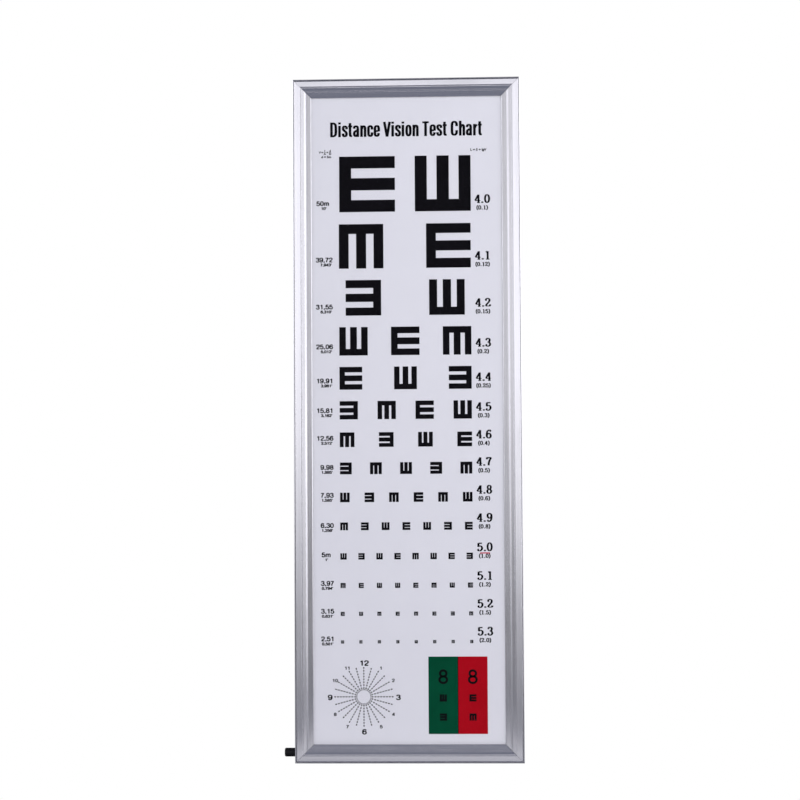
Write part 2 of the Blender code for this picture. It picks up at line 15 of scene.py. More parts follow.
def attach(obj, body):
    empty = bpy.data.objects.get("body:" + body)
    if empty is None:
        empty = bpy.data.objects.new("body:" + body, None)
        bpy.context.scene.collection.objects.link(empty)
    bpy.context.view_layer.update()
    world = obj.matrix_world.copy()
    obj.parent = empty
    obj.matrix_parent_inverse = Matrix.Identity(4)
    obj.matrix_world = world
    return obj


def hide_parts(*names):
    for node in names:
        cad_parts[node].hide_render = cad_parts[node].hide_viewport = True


MM = 0.001
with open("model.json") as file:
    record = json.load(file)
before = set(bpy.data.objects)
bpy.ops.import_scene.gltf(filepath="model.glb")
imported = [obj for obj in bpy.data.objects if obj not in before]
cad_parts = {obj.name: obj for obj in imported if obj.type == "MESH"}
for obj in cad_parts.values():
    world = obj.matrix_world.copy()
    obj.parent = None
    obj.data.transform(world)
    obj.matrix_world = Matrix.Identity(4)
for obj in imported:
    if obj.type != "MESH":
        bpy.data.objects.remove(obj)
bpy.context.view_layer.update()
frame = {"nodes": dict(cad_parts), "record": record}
NODES = frame["nodes"]
ROOT = "light_box"

# Frame, as in the CAD part
WIDTH, HEIGHT = 300.0, 900.0
PIVOT = (3.0, 23.5)
KNUCKLE = 1.5
MITRE_GAP = 0.2
FILM_FRONT = 17.1

# Printed ink stands on the film's front face
INK_BACK = FILM_FRONT + 0.02
INK_FRONT = FILM_FRONT + 0.06
OVERPRINT = 0.05  # black ink printed over a coloured block stands this much further out
STROKE_STEP = 0.008  # strokes that cross in one letter lie on each other, never in one plane


# ------------------------ materials


class Graph:
    """Short names for the nodes and links of one material."""

    def __init__(self, name):
        self.material = bpy.data.materials.new(name)
        self.material.use_nodes = True
        self.tree = self.material.node_tree
        self.shader = self.tree.nodes["Principled BSDF"]

    def set(self, **values):
        for key, value in values.items():
            self.shader.inputs[key.replace("_", " ")].default_value = value

    def node(self, kind, inputs=None, **attributes):
        made = self.tree.nodes.new(kind)
        for key, value in attributes.items():
            setattr(made, key, value)
        for key, value in (inputs or {}).items():
            if isinstance(value, bpy.types.NodeSocket):
                self.tree.links.new(value, made.inputs[key])
            else:
                made.inputs[key].default_value = value
        return made

    def link(self, source, socket):
        self.tree.links.new(source, self.shader.inputs[socket])

    def noise(self, scale, detail, stretch=(1.0, 1.0, 1.0), roughness=0.5):
        """Noise in the object's own coordinates; scale is in cells per metre."""
        place = self.node("ShaderNodeTexCoord").outputs["Object"]
        mapped = self.node("ShaderNodeMapping", {"Vector": place, "Scale": stretch})
        made = self.node("ShaderNodeTexNoise", {"Vector": mapped.outputs["Vector"], "Scale": scale,
                                                "Detail": detail, "Roughness": roughness})
        return made.outputs["Fac"]

    def remap(self, value, low, high, start=0.3, end=0.7):
        made = self.node("ShaderNodeMapRange", {"Value": value, "From Min": start, "From Max": end,
                                                "To Min": low, "To Max": high})
        return made.outputs["Result"]

    def blend(self, factor, first, second):
        made = self.node("ShaderNodeMix", data_type="RGBA")
        self.tree.links.new(factor, made.inputs["Factor"])
        for socket, colour in (("A", first), ("B", second)):
            target = [s for s in made.inputs if s.name == socket and s.type == "RGBA"][0]
            if isinstance(colour, bpy.types.NodeSocket):
                self.tree.links.new(colour, target)
            else:
                target.default_value = (*colour, 1.0)
        return [s for s in made.outputs if s.type == "RGBA"][0]

    def bump(self, height, distance, strength):
        made = self.node("ShaderNodeBump", {"Height": height, "Distance": distance,
                                            "Strength": strength})
        self.link(made.outputs["Normal"], "Normal")


def aluminium(name, along):
    """Silver anodised extrusion: fine draw lines along its length, with faint handling marks."""
    g = Graph(name)
    g.set(Metallic=1.0, Anisotropic=0.5, Anisotropic_Rotation=0.25)
    stretch = [1.0 if axis != along else 0.004 for axis in range(3)]
    lines = g.noise(2600.0, 2.0, stretch, 0.6)
    bands = g.noise(420.0, 2.0, stretch, 0.5)
    marks = g.noise(38.0, 5.0, [1.0 if axis != along else 0.25 for axis in range(3)], 0.6)
    tone = g.blend(g.remap(lines, 0.0, 1.0), (0.76, 0.76, 0.79), (0.87, 0.87, 0.89))
    tone = g.blend(g.remap(bands, 0.0, 0.45), tone, (0.72, 0.72, 0.76))
    tone = g.blend(g.remap(marks, 0.0, 0.16, 0.55, 0.8), tone, (0.50, 0.50, 0.55))
    g.link(tone, "Base Color")
    rough = g.node("ShaderNodeMath", {0: g.remap(lines, 0.17, 0.23), 1: g.remap(marks, 0.0, 0.05)},
                   operation="ADD")
    g.link(rough.outputs[0], "Roughness")
    direction = g.node("ShaderNodeCombineXYZ", {"XYZ"[along]: 1.0})
    g.link(direction.outputs[0], "Tangent")
    g.bump(lines, 0.000012, 0.5)
    return g.material


def coated(name, colour, dark, roughness, grain, distance, specular=0.4, metallic=0.0):
    """A painted, moulded or sheet surface: slight tone variation, texture and uneven gloss."""
    g = Graph(name)
    g.set(Metallic=metallic, Specular_IOR_Level=specular)
    cloud = g.noise(22.0, 4.0)
    fine = g.noise(grain, 3.0)
    g.link(g.blend(g.remap(cloud, 0.0, 1.0), colour, dark), "Base Color")
    g.link(g.remap(fine, roughness - 0.05, roughness + 0.06), "Roughness")
    g.bump(fine, distance, 0.6)
    return g.material


def clear_sheet(name):
    """Thin non-glare sheet: seen straight through from the front, with a soft sheen at an angle."""
    g = Graph(name)
    nodes, links = g.tree.nodes, g.tree.links
    nodes.remove(g.shader)
    see = g.node("ShaderNodeBsdfTransparent", {"Color": (0.985, 0.988, 0.99, 1.0)})
    grain = g.noise(5200.0, 2.0)
    bump = g.node("ShaderNodeBump", {"Height": grain, "Distance": 0.00001, "Strength": 0.4})
    sheen = g.node("ShaderNodeBsdfGlossy", {"Roughness": g.remap(grain, 0.28, 0.4),
                                            "Color": (0.95, 0.95, 0.96, 1.0),
                                            "Normal": bump.outputs["Normal"]})
    weight = g.node("ShaderNodeLayerWeight", {"Blend": 0.12})
    amount = g.remap(weight.outputs["Fresnel"], 0.001, 0.4, 0.02, 1.0)
    mix = g.node("ShaderNodeMixShader", {"Fac": amount, 1: see.outputs[0], 2: sheen.outputs[0]})
    links.new(mix.outputs[0], nodes["Material Output"].inputs["Surface"])
    return g.material


def acrylic(name, colour):
    """Clear acrylic sheet with polished faces and faint flow marks."""
    g = Graph(name)
    g.set(IOR=1.49, Transmission_Weight=0.9)
    flow = g.noise(9.0, 3.0)
    tint = tuple(c * 0.96 for c in colour)
    g.link(g.blend(g.remap(flow, 0.0, 1.0), colour, tint), "Base Color")
    g.link(g.remap(flow, 0.05, 0.12), "Roughness")
    return g.material


def plated(name, colour, dark, roughness):
    """Zinc, nickel or spring steel: metal with fine mottling and dull patches."""
    g = Graph(name)
    g.set(Metallic=1.0)
    mottle = g.noise(900.0, 3.0)
    patch = g.noise(60.0, 4.0)
    g.link(g.blend(g.remap(patch, 0.0, 1.0), colour, dark), "Base Color")
    g.link(g.remap(mottle, roughness - 0.07, roughness + 0.1), "Roughness")
    g.bump(mottle, 0.00001, 0.5)
    return g.material


def ink(name, colour, dark, roughness=0.6):
    """Screen-printed ink, a little uneven in tone, with the print's fine grain."""
    g = Graph(name)
    g.set(Specular_IOR_Level=0.015)
    cloud = g.noise(30.0, 3.0)
    grain = g.noise(6000.0, 2.0)
    mottled = g.blend(g.remap(cloud, 0.0, 1.0), colour, dark)
    g.link(g.blend(g.remap(grain, 0.0, 0.25), mottled, dark), "Base Color")
    g.link(g.remap(grain, roughness - 0.08, roughness + 0.08), "Roughness")
    return g.material


X, Z = 0, 2  # the axis that a rail runs along
METAL = {"upright": aluminium("aluminium_upright", Z), "level": aluminium("aluminium_level", X)}
# Dark dull metal for the groove faces: painted shade that stands in for the shadow in the rail's
# narrow crease
GROOVE_SHADE = coated("groove_painted_shade", (0.07, 0.07, 0.09), (0.04, 0.04, 0.055), 0.55, 1500.0, 0.00002,
                metallic=0.8)
MATERIALS = {
    "back_sheet": coated("back_sheet_paint", (0.66, 0.66, 0.67), (0.645, 0.645, 0.657),
        0.5, 2400.0, 0.00003),
    "clear_sheet": clear_sheet("clear_cover"),
    "chart_white": coated("chart_film_white", (0.80, 0.79, 0.835), (0.785, 0.775, 0.82),
        0.6, 3000.0, 0.000006, specular=0.1),
    "diffuser_white": coated("diffuser_opal", (0.86, 0.86, 0.88), (0.84, 0.84, 0.86),
        0.45, 1500.0, 0.00001),
    "light_guide_acrylic": acrylic("light_guide_clear", (0.90, 0.95, 0.96)),
    "reflector_white": coated("reflector_film", (0.90, 0.90, 0.90), (0.88, 0.88, 0.89),
        0.6, 2500.0, 0.00001),
    "strip_board": coated("led_strip_white", (0.85, 0.84, 0.78), (0.80, 0.78, 0.70),
        0.45, 2500.0, 0.00002),
    "zinc_steel": plated("zinc_plate", (0.62, 0.64, 0.68), (0.52, 0.53, 0.55), 0.32),
    "spring_steel": plated("spring_steel_blue", (0.34, 0.36, 0.42), (0.26, 0.27, 0.30), 0.28),
    "black_plastic": coated("moulded_black", (0.008, 0.008, 0.010), (0.005, 0.005, 0.006),
        0.42, 1800.0, 0.00004, specular=0.2),
    "nickel": plated("nickel_plate", (0.70, 0.66, 0.58), (0.60, 0.56, 0.49), 0.2),
    "wire_red": coated("wire_red_pvc", (0.50, 0.02, 0.02), (0.42, 0.015, 0.015),
        0.38, 900.0, 0.00002),
    "wire_black": coated("wire_black_pvc", (0.02, 0.02, 0.02), (0.014, 0.014, 0.014),
        0.38, 900.0, 0.00002),
    "connector_white": coated("connector_nylon", (0.82, 0.81, 0.76), (0.78, 0.77, 0.71),
        0.42, 1200.0, 0.00003),
}
BLACK_INK = ink("ink_black", (0.0055, 0.005, 0.007), (0.0038, 0.0034, 0.005))
GREEN_INK = ink("ink_green", (0.0008, 0.076, 0.035), (0.0004, 0.058, 0.026), 0.5)
RED_INK = ink("ink_red", (0.44, 0.0035, 0.012), (0.39, 0.0025, 0.009), 0.5)
LINE_RED_INK = ink("ink_line_red", (0.62, 0.02, 0.07), (0.55, 0.015, 0.06), 0.5)


def assign_cad_materials():
    slots = {part["node"]: part["material_slot"] for part in frame["record"]["subparts"]}
    for name, obj in NODES.items():
        slot = slots[name]
        if slot == "anodised_aluminium":
            side = name.rsplit("_", 1)[1]
            material = METAL["upright" if side in ("left", "right") else "level"]
        else:
            material = MATERIALS[slot]
        obj.data.materials.clear()
        obj.data.materials.append(material)


# ------------------------ shapes


def linked(name, edit, materials=()):
    """The edited mesh as a new object in the scene."""
    mesh = bpy.data.meshes.new(name)
    edit.to_mesh(mesh)
    edit.free()
    for material in materials:
        mesh.materials.append(material)
    obj = bpy.data.objects.new(name, mesh)
    bpy.context.scene.collection.objects.link(obj)
    return obj


def add_prism(edit, outline, lift=0.0):
    """A closed flat print: an outline in the chart's own (x, z) millimetres, given ink thickness."""
    back = [edit.verts.new((x * MM, -(INK_BACK + lift) * MM, z * MM)) for x, z in outline]
    front = [edit.verts.new((x * MM, -(INK_FRONT + lift) * MM, z * MM)) for x, z in outline]
    edit.faces.new(front)
    edit.faces.new(list(reversed(back)))
    count = len(outline)
    for i in range(count):
        k = (i + 1) % count
        edit.faces.new((front[i], back[i], back[k], front[k]))


def printed(name, edit, material):
    bmesh.ops.recalc_face_normals(edit, faces=edit.faces)
    piece = linked(name, edit, [material])
    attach(piece, ROOT)


SPREAD_OUT = (0.55, 0.08)  # how far ink spreads past a sign's edge: at most mm, and share of its size
SPREAD_IN = (0.85, 0.31)  # and into its gaps: at most mm, and share of a bar
TURNS = {"R": (1, 0), "U": (0, 1), "L": (-1, 0), "D": (0, -1)}  # cosine and sine


def sign_outline(x, z, size, direction):
    """The E sign: three bars and a stem on a five by five grid, turned to its direction."""
    bar = size / 5
    spread = min(SPREAD_IN[0], SPREAD_IN[1] * bar)
    end = 2.5 * bar + min(SPREAD_OUT[0], SPREAD_OUT[1] * size)
    inner, middle = 1.5 * bar - spread, 0.5 * bar + spread
    points = [(-end, -end), (end, -end), (end, -inner), (-inner, -inner), (-inner, -middle),
              (end, -middle), (end, middle), (-inner, middle), (-inner, inner), (end, inner),
              (end, end), (-end, end)]
    c, s = TURNS[direction]
    return [(x + a * c - b * s, z + a * s + b * c) for a, b in points]


CURVE_STEPS = 5


def smooth(points):
    """An open Catmull-Rom curve through the points."""
    first = (2 * points[0][0] - points[1][0], 2 * points[0][1] - points[1][1])
    last = (2 * points[-1][0] - points[-2][0], 2 * points[-1][1] - points[-2][1])
    ends = [first, *points, last]
    found = []
    for i in range(1, len(ends) - 2):
        p0, p1, p2, p3 = ends[i - 1:i + 3]
        for k in range(CURVE_STEPS):
            t = k / CURVE_STEPS
            found.append(tuple(
                0.5 * (2 * b + (c - a) * t + (2 * a - 5 * b + 4 * c - d) * t * t
                       + (3 * b - a - 3 * c + d) * t ** 3)
                for a, b, c, d in zip(p0, p1, p2, p3)))
    found.append(points[-1])
    return found


def add_stroke(edit, path, heavy, light, place, closed, lift):
    """One pen stroke as a closed ribbon: heavy where it runs upright, light where it runs level.

    The path is in glyph units; place turns them into chart millimetres."""
    count = len(path)
    left, right = [], []
    for i in range(count):
        before = path[(i - 1) % count] if closed or i > 0 else path[0]
        after = path[(i + 1) % count] if closed or i < count - 1 else path[-1]
        dx, dz = after[0] - before[0], after[1] - before[1]
        reach = math.hypot(dx, dz) or 1.0
        dx, dz = dx / reach, dz / reach
        half = (light + (heavy - light) * abs(dz)) / 2
        left.append(place(path[i][0] - dz * half, path[i][1] + dx * half))
        right.append(place(path[i][0] + dz * half, path[i][1] - dx * half))
    rings = []
    for a, b in zip(left, right):
        rings.append([edit.verts.new((p[0] * MM, -(y + lift) * MM, p[1] * MM))
                      for p, y in ((a, INK_FRONT), (b, INK_FRONT), (b, INK_BACK), (a, INK_BACK))])
    spans = count if closed else count - 1
    for i in range(spans):
        r, s = rings[i], rings[(i + 1) % count]
        for k in range(4):
            edit.faces.new((r[k], s[k], s[(k + 1) % 4], r[(k + 1) % 4]))
    if not closed:
        edit.faces.new(list(reversed(rings[0])))
        edit.faces.new(rings[-1])


def oval(x, z, rx, rz, square=1.0, count=20):
    """A closed oval; square above 1 gives straighter sides."""
    points = []
    for i in range(count):
        a = 2 * math.pi * i / count
        c, s = math.cos(a), math.sin(a)
        points.append((x + rx * math.copysign(abs(c) ** (1 / square), c),
                       z + rz * math.copysign(abs(s) ** (1 / square), s)))
    return points


# ------------------------ lettering

# Each glyph is (width, [(path, closed, stroke weight)]), in units of the capital height


def curve(*points):
    return smooth(points), False, 1.0


def line(*points, weight=1.0):
    return list(points), False, weight


def ring(x, z, rx, rz, square=1.0):
    return oval(x, z, rx, rz, square), True, 1.0


BALL_RADIUS = 0.035


def ball(x, z):
    return oval(x, z, BALL_RADIUS, BALL_RADIUS, count=10), True, 0.55


SERIF = {
    "0": (0.60, [ring(0.28, 0.5, 0.205, 0.475)]),
    "1": (0.60, [line((0.30, 0.0), (0.30, 0.99)), line((0.12, 0.86), (0.27, 0.965)),
        line((0.12, 0.025), (0.48, 0.025))]),
    "2": (0.60, [ball(0.12, 0.74), curve((0.09, 0.72), (0.12, 0.90), (0.27, 0.975), (0.42, 0.88),
        (0.44, 0.70), (0.33, 0.48), (0.17, 0.27), (0.07, 0.08)), line((0.07, 0.06), (0.48, 0.06)),
        line((0.47, 0.04), (0.51, 0.25))]),
    "3": (0.60, [ball(0.12, 0.79), curve((0.09, 0.78), (0.14, 0.92), (0.27, 0.975), (0.41, 0.88),
        (0.42, 0.68), (0.33, 0.55), (0.22, 0.52)), curve((0.22, 0.52), (0.37, 0.49), (0.46, 0.36),
        (0.45, 0.16), (0.28, 0.025), (0.12, 0.09), (0.07, 0.22)), ball(0.11, 0.22)]),
    "4": (0.60, [line((0.37, 0.0), (0.37, 0.99)), line((0.36, 0.97), (0.04, 0.28)),
        line((0.03, 0.275), (0.54, 0.275)), line((0.23, 0.025), (0.51, 0.025))]),
    "5": (0.60, [line((0.13, 0.93), (0.46, 0.93), weight=1.4), line((0.12, 0.96), (0.10, 0.50)),
        curve((0.10, 0.50), (0.19, 0.60), (0.32, 0.60), (0.45, 0.48), (0.46, 0.25), (0.34, 0.06),
        (0.20, 0.025), (0.09, 0.10), (0.07, 0.20)), ball(0.10, 0.21)]),
    "6": (0.60, [ball(0.43, 0.83), curve((0.46, 0.85), (0.38, 0.965), (0.27, 0.955), (0.13, 0.80),
        (0.08, 0.50), (0.10, 0.18), (0.28, 0.025), (0.44, 0.14), (0.46, 0.35), (0.38, 0.55),
        (0.26, 0.58), (0.13, 0.46), (0.09, 0.33))]),
    "7": (0.60, [line((0.08, 0.93), (0.50, 0.93), weight=1.5), line((0.09, 0.97), (0.07, 0.74)),
        curve((0.50, 0.95), (0.36, 0.66), (0.27, 0.38), (0.24, 0.02))]),
    "8": (0.60, [ring(0.28, 0.745, 0.155, 0.23), ring(0.28, 0.265, 0.195, 0.24)]),
    "9": (0.60, [ball(0.13, 0.17), curve((0.10, 0.15), (0.18, 0.035), (0.29, 0.045), (0.43, 0.20),
        (0.48, 0.50), (0.46, 0.82), (0.28, 0.975), (0.12, 0.86), (0.10, 0.65), (0.18, 0.45),
        (0.30, 0.42), (0.43, 0.54), (0.47, 0.67))]),
    ".": (0.34, [(oval(0.15, 0.07, 0.045, 0.045, count=10), True, 0.75)]),
    "(": (0.36, [curve((0.30, 1.08), (0.15, 0.80), (0.10, 0.45), (0.15, 0.10), (0.30, -0.18))]),
    ")": (0.36, [curve((0.04, 1.08), (0.19, 0.80), (0.24, 0.45), (0.19, 0.10), (0.04, -0.18))]),
}

SANS = {
    "0": (0.776, [ring(0.385, 0.5, 0.265, 0.44, 1.15)]),
    "1": (0.776, [line((0.46, 0.0), (0.46, 1.0)), curve((0.44, 0.93), (0.36, 0.82), (0.17, 0.76))]),
    "2": (0.776, [curve((0.12, 0.66), (0.16, 0.86), (0.38, 0.94), (0.61, 0.86), (0.65, 0.67),
        (0.54, 0.49), (0.28, 0.28), (0.13, 0.08)), line((0.08, 0.06), (0.69, 0.06))]),
    "3": (0.776, [curve((0.12, 0.71), (0.19, 0.88), (0.38, 0.94), (0.59, 0.86), (0.61, 0.68),
        (0.50, 0.56), (0.31, 0.53)), curve((0.31, 0.53), (0.55, 0.49), (0.66, 0.32), (0.60, 0.13),
        (0.38, 0.06), (0.17, 0.12), (0.09, 0.30))]),
    "4": (0.776, [line((0.55, 0.0), (0.55, 0.99)), line((0.53, 0.95), (0.09, 0.28)),
        line((0.05, 0.25), (0.72, 0.25))]),
    "5": (0.776, [line((0.17, 0.93), (0.64, 0.93)), line((0.20, 0.95), (0.13, 0.45)),
        curve((0.12, 0.47), (0.24, 0.58), (0.41, 0.61), (0.60, 0.53), (0.66, 0.33), (0.59, 0.13),
        (0.37, 0.06), (0.17, 0.12), (0.09, 0.28))]),
    "6": (0.776, [curve((0.65, 0.73), (0.58, 0.88), (0.41, 0.94), (0.22, 0.86), (0.12, 0.60),
        (0.12, 0.32), (0.21, 0.12), (0.40, 0.06), (0.59, 0.13), (0.66, 0.32), (0.59, 0.52),
        (0.41, 0.60), (0.23, 0.53), (0.13, 0.35))]),
    "7": (0.776, [line((0.08, 0.93), (0.68, 0.93)), curve((0.67, 0.93), (0.48, 0.66), (0.34, 0.36),
        (0.28, 0.0))]),
    "8": (0.776, [ring(0.385, 0.735, 0.225, 0.20), ring(0.385, 0.295, 0.275, 0.235)]),
    "9": (0.776, [curve((0.11, 0.27), (0.18, 0.12), (0.36, 0.06), (0.55, 0.14), (0.65, 0.40),
        (0.65, 0.68), (0.56, 0.88), (0.37, 0.94), (0.18, 0.87), (0.11, 0.68), (0.18, 0.48),
        (0.36, 0.40), (0.54, 0.47), (0.64, 0.65))]),
    "m": (1.163, [line((0.16, 0.0), (0.16, 0.73)), curve((0.17, 0.48), (0.24, 0.64), (0.40, 0.68),
        (0.52, 0.63), (0.56, 0.48), (0.56, 0.0)), curve((0.57, 0.48), (0.65, 0.64), (0.80, 0.68),
        (0.92, 0.63), (0.96, 0.48), (0.96, 0.0))]),
    ".": (0.388, [(oval(0.19, 0.065, 0.035, 0.035, count=10), True, 1.1)]),
    "'": (0.27, [line((0.13, 1.0), (0.13, 0.68))]),
}

ARCH = curve((0.13, 0.54), (0.17, 0.67), (0.25, 0.715), (0.32, 0.67), (0.34, 0.56), (0.34, 0.28),
             (0.34, 0.0))
TITLE = {
    "D": (0.53, [line((0.12, 0.0), (0.12, 1.0)), curve((0.12, 0.93), (0.25, 0.93), (0.36, 0.86),
        (0.40, 0.70), (0.40, 0.30), (0.36, 0.14), (0.25, 0.07), (0.12, 0.07))]),
    "V": (0.50, [line((0.07, 1.0), (0.245, 0.0)), line((0.42, 1.0), (0.245, 0.0))]),
    "T": (0.46, [line((0.22, 0.0), (0.22, 1.0)), line((0.01, 0.93), (0.43, 0.93))]),
    "C": (0.53, [curve((0.41, 0.64), (0.40, 0.82), (0.34, 0.91), (0.26, 0.935), (0.16, 0.90),
        (0.115, 0.78), (0.11, 0.50), (0.115, 0.22), (0.16, 0.10), (0.26, 0.065), (0.34, 0.09),
        (0.40, 0.18), (0.41, 0.37))]),
    "a": (0.45, [curve((0.08, 0.56), (0.11, 0.68), (0.20, 0.72), (0.29, 0.68), (0.32, 0.56),
        (0.32, 0.30), (0.32, 0.0)), curve((0.31, 0.44), (0.20, 0.40), (0.11, 0.32), (0.09, 0.18),
        (0.14, 0.08), (0.22, 0.08), (0.31, 0.18))]),
    "c": (0.42, [curve((0.33, 0.49), (0.32, 0.64), (0.26, 0.71), (0.20, 0.72), (0.12, 0.67),
        (0.10, 0.55), (0.10, 0.23), (0.12, 0.11), (0.20, 0.06), (0.26, 0.07), (0.32, 0.14),
        (0.33, 0.30))]),
    "e": (0.44, [line((0.12, 0.385), (0.33, 0.385)), curve((0.34, 0.36), (0.34, 0.58), (0.30, 0.69),
        (0.22, 0.72), (0.13, 0.68), (0.10, 0.56), (0.10, 0.22), (0.13, 0.10), (0.22, 0.06),
        (0.30, 0.10), (0.34, 0.25))]),
    "h": (0.46, [line((0.11, 0.0), (0.11, 1.0)), ARCH]),
    "i": (0.25, [line((0.11, 0.0), (0.11, 0.775)), line((0.11, 0.865), (0.11, 1.0))]),
    "n": (0.46, [line((0.11, 0.0), (0.11, 0.775)), ARCH]),
    "o": (0.45, [ring(0.22, 0.39, 0.12, 0.33, 1.35)]),
    "r": (0.32, [line((0.11, 0.0), (0.11, 0.775)), curve((0.13, 0.50), (0.17, 0.65), (0.29, 0.70))]),
    "s": (0.41, [curve((0.32, 0.53), (0.30, 0.67), (0.20, 0.72), (0.11, 0.67), (0.10, 0.54),
        (0.16, 0.44), (0.25, 0.36), (0.31, 0.25), (0.29, 0.11), (0.20, 0.06), (0.11, 0.10),
        (0.08, 0.25))]),
    "t": (0.31, [curve((0.13, 0.95), (0.13, 0.60), (0.13, 0.22), (0.16, 0.08), (0.27, 0.065)),
        line((0.01, 0.72), (0.27, 0.72))]),
    " ": (0.19, []),
}


def text_width(text, glyphs):
    return sum(glyphs[letter][0] for letter in text)


def add_text(edit, text, glyphs, x, z, height, heavy, light, width, align="left"):
    """Draws text with pen strokes; z is the base line, height the capital height in millimetres."""
    stretch = width / text_width(text, glyphs)
    start = x - {"left": 0.0, "centre": 0.5, "right": 1.0}[align] * width
    along = 0.0
    for letter in text:
        advance, strokes = glyphs[letter]

        def place(gx, gz, at=along):
            return start + (at + gx) * stretch, z + gz * height

        for number, (path, closed, weight) in enumerate(strokes):
            add_stroke(edit, path, heavy * weight, light * weight, place, closed,
                       number * STROKE_STEP)
        along += advance


FONT_CAPITAL = 0.73  # the built-in font's capital height at size 1
FONT_WIDEN = 1.1
FONT_OFFSET = 0.05  # makes the strokes bolder


def add_sans(edit, text, x, z, height):
    """Small plain lettering from Blender's own font; x and z are its middle."""
    scale = height / FONT_CAPITAL * MM
    font = bpy.data.curves.new("lettering", "FONT")
    font.body = text
    font.align_x = "CENTER"
    font.size = 1.0
    font.offset = FONT_OFFSET
    font.resolution_u = 3
    font.extrude = (INK_FRONT - INK_BACK) / 2 * MM / scale
    obj = bpy.data.objects.new("lettering", font)
    bpy.context.scene.collection.objects.link(obj)
    graph = bpy.context.evaluated_depsgraph_get()
    mesh = bpy.data.meshes.new_from_object(obj.evaluated_get(graph))
    bpy.data.objects.remove(obj)
    bpy.data.curves.remove(font)
    place = Vector((x, -(INK_FRONT + INK_BACK) / 2, z - height / 2)) * MM
    upright = Matrix.Rotation(math.pi / 2, 4, "X")
    size = Matrix.Diagonal((scale * FONT_WIDEN, scale, scale, 1.0))
    mesh.transform(Matrix.Translation(place) @ upright @ size)
    part = bmesh.new()
    part.from_mesh(mesh)
    bmesh.ops.remove_doubles(part, verts=part.verts, dist=1e-7)
    part.to_mesh(mesh)
    part.free()
    edit.from_mesh(mesh)
    bpy.data.meshes.remove(mesh)


# ------------------------ printed chart

# Mark, directions of the signs, distance, angle, decimal value, and height of the signs' middle
ROWS = [
    ("4.0", "RU", "50m", "10'", "(0.1)", 311.0),
    ("4.1", "DR", "39.72", "7.943'", "(0.12)", 228.6),
    ("4.2", "LU", "31.55", "6.310'", "(0.15)", 160.4),
    ("4.3", "URD", "25.06", "5.012'", "(0.2)", 103.0),
    ("4.4", "RUL", "19.91", "3.981'", "(0.25)", 54.2),
    ("4.5", "LDRU", "15.81", "3.162'", "(0.3)", 12.0),
    ("4.6", "DLUR", "12.56", "2.512'", "(0.4)", -26.8),
    ("4.7", "LDULD", "9.98", "1.995'", "(0.5)", -64.5),
    ("4.8", "ULDRDU", "7.93", "1.585'", "(0.6)", -102.7),
    ("4.9", "DLURULR", "6.30", "1.259'", "(0.8)", -140.7),
    ("5.0", "ULURDURL", "5m", "1'", "(1.0)", -180.1),
    ("5.1", "DRUURDUR", "3.97", "0.794'", "(1.2)", -218.3),
    ("5.2", "RUDRDRLD", "3.15", "0.631'", "(1.5)", -255.4),
    ("5.3", "URDLURDL", "2.51", "0.501'", "(2.0)", -292.1),
]
LARGEST_SIGN = 72.72  # the 4.0 row at 5 m; each row is smaller by a tenth of a decade
ROW_ENDS = (-89.4, 83.7)
OTHER_ROW_ENDS = {"4.0": (-88.6, 84.2), "4.2": (-80.8, 75.4)}
MARK_X, MARK_WIDTH, MARK_HEIGHT, MARK_RISE = 90.0, 20.5, 11.0, 9.8
VALUE_X, VALUE_HEIGHT, VALUE_RISE = 99.8, 5.1, 1.1
VALUE_STEP, VALUE_SHORT = 3.8, 3.6  # width of one more figure, and what the brackets save
LABEL_RIGHT, LABEL_HEIGHT, LABEL_WIDEN = -98.3, 6.0, 1.07
LABEL_RISES = [11.2] * 7 + [8.7] * 2 + [5.8] * 5  # above the foot of each row's signs
ANGLE_LEFT_OF_LABEL, ANGLE_HEIGHT, ANGLE_WIDEN, ANGLE_DROP = 1.4, 3.5, 1.13, 6.55
METRE_INSET, METRE_ANGLE_INSET = 3.9, 7.9  # labels with a unit stand further left


def sign_size(index):
    return LARGEST_SIGN * 10 ** (-0.1 * index)


def make_rows():
    for index, (mark, signs, distance, angle, value, z) in enumerate(ROWS):
        size = sign_size(index)
        low, high = OTHER_ROW_ENDS.get(mark, ROW_ENDS)
        first, last = low + size / 2, high - size / 2
        edit = bmesh.new()
        for number, direction in enumerate(signs):
            x = first + (last - first) * number / (len(signs) - 1)
            add_prism(edit, sign_outline(x, z, size, direction))
        printed(f"print_signs_{mark}", edit, BLACK_INK)

        base = z - size / 2
        edit = bmesh.new()
        add_text(edit, mark, SERIF, MARK_X, base + MARK_RISE, MARK_HEIGHT, 0.2, 0.105, MARK_WIDTH)
        add_text(edit, value, SERIF, VALUE_X, base + VALUE_RISE, VALUE_HEIGHT, 0.22, 0.16,
                 VALUE_STEP * len(value) - VALUE_SHORT, "centre")
        printed(f"print_mark_{mark}", edit, BLACK_INK)

        right, angle_right = LABEL_RIGHT, LABEL_RIGHT - ANGLE_LEFT_OF_LABEL
        if distance.endswith("m"):
            right, angle_right = LABEL_RIGHT - METRE_INSET, LABEL_RIGHT - METRE_ANGLE_INSET
        middle = base + LABEL_RISES[index]
        edit = bmesh.new()
        add_text(edit, distance, SANS, right, middle - LABEL_HEIGHT / 2, LABEL_HEIGHT, 0.245, 0.215,
                 LABEL_WIDEN * LABEL_HEIGHT * text_width(distance, SANS), "right")
        add_text(edit, angle, SANS, angle_right, middle - ANGLE_DROP - ANGLE_HEIGHT / 2,
                 ANGLE_HEIGHT, 0.32, 0.27,
                 ANGLE_WIDEN * ANGLE_HEIGHT * text_width(angle, SANS), "right")
        printed(f"print_distance_{mark}", edit, BLACK_INK)


def add_bar(edit, left, right, low, high, lift=0.0):
    add_prism(edit, [(left, low), (right, low), (right, high), (left, high)], lift)


